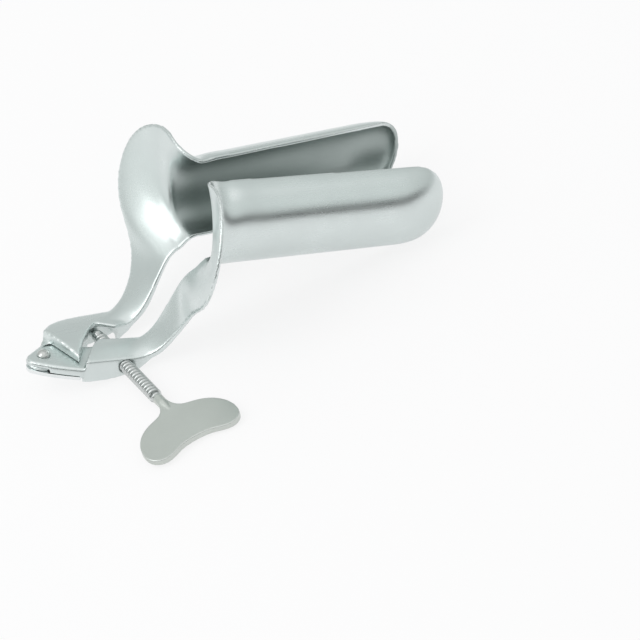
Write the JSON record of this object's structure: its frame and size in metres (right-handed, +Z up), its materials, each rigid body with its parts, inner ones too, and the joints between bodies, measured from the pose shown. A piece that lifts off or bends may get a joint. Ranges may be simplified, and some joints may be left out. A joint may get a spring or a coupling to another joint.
{
  "type": "bivalve speculum",
  "caption": "Side-hinged bivalve vaginal speculum with two trough blades on round lobes and strap arms, spread by a thumb screw.",
  "frame": {"origin": "on the table plane, under the middle of the footprint of the instrument as it lies", "axes": "+Z up from the table, +X along the blades from the hinge towards their tips, +Y across, towards the far valve"},
  "size_m": [0.1892, 0.1446, 0.071],
  "materials": {
    "steel": "satin",
    "rivet_steel": "polished"
  },
  "bodies": {
    "near": {"near_valve": "steel", "hinge_plate": "steel", "hinge_rivet": "rivet_steel"},
    "far": {"far_valve": "steel"},
    "rod": {"screw_shank": "steel"},
    "wing": {"thumb_wing": "steel"}
  },
  "joints": [
    {"name": "valve_hinge", "type": "hinge", "parent": "near", "child": "far", "pos_m": [-0.08668, 0.01063, 0.01256], "axis": [0.344, 0.0425, 0.938], "range_deg": [-14.1, 21.9]},
    {"name": "screw_feed", "type": "slide", "parent": "near", "child": "rod", "axis": [-0.2138, 0.9763, 0.0342], "range_m": [-0.0069, 0.0107]},
    {"name": "screw_turn", "type": "hinge", "parent": "rod", "child": "wing", "pos_m": [-0.0494, -0.03368, 0.00366], "axis": [-0.2138, 0.9763, 0.0342], "range_deg": [-1165.7, 1815.2]}
  ],
  "couplings": [
    {"joint": "valve_hinge", "follows": "screw_turn", "ratio": 0.01201},
    {"joint": "screw_feed", "follows": "screw_turn", "m_per_rad": 0.00033423}
  ]
}
